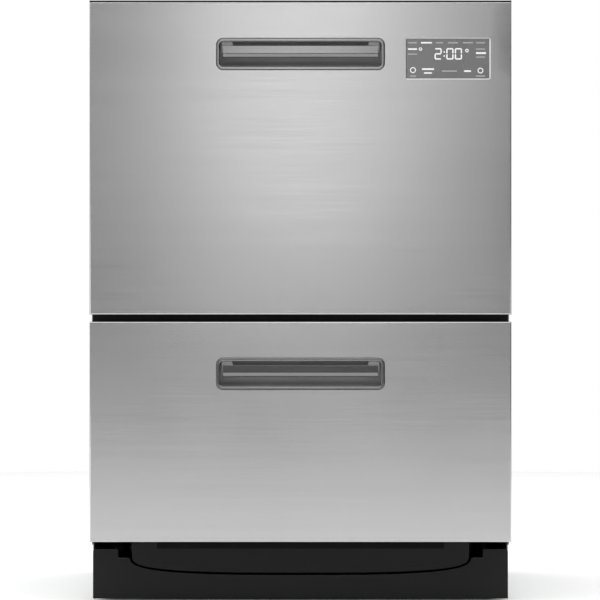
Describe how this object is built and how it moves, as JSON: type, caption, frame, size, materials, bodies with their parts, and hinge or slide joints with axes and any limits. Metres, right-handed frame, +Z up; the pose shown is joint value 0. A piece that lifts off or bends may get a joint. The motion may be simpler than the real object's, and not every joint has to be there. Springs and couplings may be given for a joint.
{
  "type": "two-drawer dishwasher",
  "caption": "Built-in dishwasher with a tall wash drawer over a short one, recessed handles, a touch display and a toe kick.",
  "frame": {"origin": "centre of the footprint, on the floor", "axes": "+Z up, -Y out of the drawer fronts, +X to the right for someone facing the fronts"},
  "size_m": [0.599, 0.573, 0.856],
  "materials": {
    "brushed_stainless": "brushed",
    "plain_stainless": "satin",
    "galvanised_sheet": "satin",
    "runner_steel": "satin",
    "black_moulding": "matte",
    "grey_moulding": "matte",
    "pale_moulding": "matte",
    "tub_moulding": "satin",
    "coated_wire": "satin",
    "seal_rubber": "matte",
    "display_glass": "glossy",
    "circuit_board": "matte",
    "valve_moulding": "satin"
  },
  "bodies": {
    "chassis": {"left_side_panel": "galvanised_sheet", "right_side_panel": "galvanised_sheet", "back_panel": "galvanised_sheet", "base_pan": "grey_moulding", "top_panel": "galvanised_sheet", "top_trim": "black_moulding", "mid_brace": "black_moulding", "toe_kick": "black_moulding", "controller_box": "grey_moulding", "inlet_valve": "valve_moulding", "service_recess": "grey_moulding", "chassis_screws": "runner_steel", "lower_fixed_rails": "runner_steel", "upper_fixed_rails": "runner_steel", "lower_lid_actuators": "grey_moulding", "upper_lid_actuators": "grey_moulding"},
    "lower_drawer": {"lower_door_skin": "brushed_stainless", "lower_door_frame": "grey_moulding", "lower_handle_bezel": "plain_stainless", "lower_handle_grip": "plain_stainless", "lower_tub": "tub_moulding", "lower_belly_pan": "black_moulding", "lower_drawer_rails": "runner_steel", "lower_wash_pump": "black_moulding", "lower_filter_plate": "plain_stainless", "lower_rack": "coated_wire", "lower_dispenser": "grey_moulding", "lower_rinse_cap": "pale_moulding"},
    "lower_middle_runners": {"lower_mid_rails": "runner_steel"},
    "lower_lid": {"lower_lid": "pale_moulding", "lower_lid_seal": "seal_rubber"},
    "lower_spray_arm": {"lower_spray_arm": "grey_moulding"},
    "lower_fold_tines": {"lower_fold_tines": "coated_wire"},
    "lower_dispenser_flap": {"lower_dispenser_flap": "pale_moulding"},
    "upper_drawer": {"upper_door_skin": "brushed_stainless", "upper_door_frame": "grey_moulding", "upper_handle_bezel": "plain_stainless", "upper_handle_grip": "plain_stainless", "upper_tub": "tub_moulding", "upper_belly_pan": "black_moulding", "upper_drawer_rails": "runner_steel", "upper_wash_pump": "black_moulding", "upper_filter_plate": "plain_stainless", "upper_rack": "coated_wire", "upper_dispenser": "grey_moulding", "upper_rinse_cap": "pale_moulding", "display_window": "display_glass", "display_board": "circuit_board", "cutlery_basket": "grey_moulding"},
    "upper_middle_runners": {"upper_mid_rails": "runner_steel"},
    "upper_lid": {"upper_lid": "pale_moulding", "upper_lid_seal": "seal_rubber"},
    "upper_spray_arm": {"upper_spray_arm": "grey_moulding"},
    "upper_fold_tines": {"upper_fold_tines": "coated_wire"},
    "upper_dispenser_flap": {"upper_dispenser_flap": "pale_moulding"},
    "cup_rack": {"cup_rack": "coated_wire"},
    "foot_front_left": {"foot_front_left": "black_moulding"},
    "foot_front_right": {"foot_front_right": "black_moulding"},
    "foot_rear_left": {"foot_rear_left": "black_moulding"},
    "foot_rear_right": {"foot_rear_right": "black_moulding"}
  },
  "joints": [
    {"name": "lower_drawer_slide", "type": "slide", "parent": "chassis", "child": "lower_drawer", "axis": [0, -1, 0], "range_m": [0, 0.5]},
    {"name": "lower_runner_slide", "type": "slide", "parent": "chassis", "child": "lower_middle_runners", "axis": [0, -1, 0], "range_m": [0, 0.25]},
    {"name": "lower_lid_lift", "type": "slide", "parent": "chassis", "child": "lower_lid", "axis": [0, 0, 1], "range_m": [-0.008, 0]},
    {"name": "lower_spray_spin", "type": "hinge", "parent": "lower_drawer", "child": "lower_spray_arm", "pos_m": [0, -0.0041, 0.1333], "axis": [0, 0, 1], "continuous": true},
    {"name": "lower_tine_fold", "type": "hinge", "parent": "lower_drawer", "child": "lower_fold_tines", "pos_m": [0, -0.0185, 0.1813], "axis": [-1, 0, 0], "range_deg": [0, 88]},
    {"name": "lower_flap_hinge", "type": "hinge", "parent": "lower_drawer", "child": "lower_dispenser_flap", "pos_m": [-0.025, -0.241, 0.3], "axis": [1, 0, 0], "range_deg": [0, 95]},
    {"name": "upper_drawer_slide", "type": "slide", "parent": "chassis", "child": "upper_drawer", "axis": [0, -1, 0], "range_m": [0, 0.5]},
    {"name": "upper_runner_slide", "type": "slide", "parent": "chassis", "child": "upper_middle_runners", "axis": [0, -1, 0], "range_m": [0, 0.25]},
    {"name": "upper_lid_lift", "type": "slide", "parent": "chassis", "child": "upper_lid", "axis": [0, 0, 1], "range_m": [-0.008, 0]},
    {"name": "upper_spray_spin", "type": "hinge", "parent": "upper_drawer", "child": "upper_spray_arm", "pos_m": [0, -0.0041, 0.515], "axis": [0, 0, 1], "continuous": true},
    {"name": "upper_tine_fold", "type": "hinge", "parent": "upper_drawer", "child": "upper_fold_tines", "pos_m": [0, -0.0185, 0.563], "axis": [-1, 0, 0], "range_deg": [0, 88]},
    {"name": "upper_flap_hinge", "type": "hinge", "parent": "upper_drawer", "child": "upper_dispenser_flap", "pos_m": [-0.025, -0.241, 0.754], "axis": [1, 0, 0], "range_deg": [0, 95]},
    {"name": "cup_rack_hinge", "type": "hinge", "parent": "upper_drawer", "child": "cup_rack", "pos_m": [-0.2565, -0.0041, 0.651], "axis": [0, -1, 0], "range_deg": [0, 88]},
    {"name": "foot_front_left_screw", "type": "slide", "parent": "chassis", "child": "foot_front_left", "axis": [0, 0, -1], "range_m": [0, 0.03]},
    {"name": "foot_front_right_screw", "type": "slide", "parent": "chassis", "child": "foot_front_right", "axis": [0, 0, -1], "range_m": [0, 0.03]},
    {"name": "foot_rear_left_screw", "type": "slide", "parent": "chassis", "child": "foot_rear_left", "axis": [0, 0, -1], "range_m": [0, 0.03]},
    {"name": "foot_rear_right_screw", "type": "slide", "parent": "chassis", "child": "foot_rear_right", "axis": [0, 0, -1], "range_m": [0, 0.03]}
  ],
  "couplings": [
    {"joint": "lower_runner_slide", "follows": "lower_drawer_slide", "ratio": 0.5},
    {"joint": "upper_runner_slide", "follows": "upper_drawer_slide", "ratio": 0.5}
  ]
}
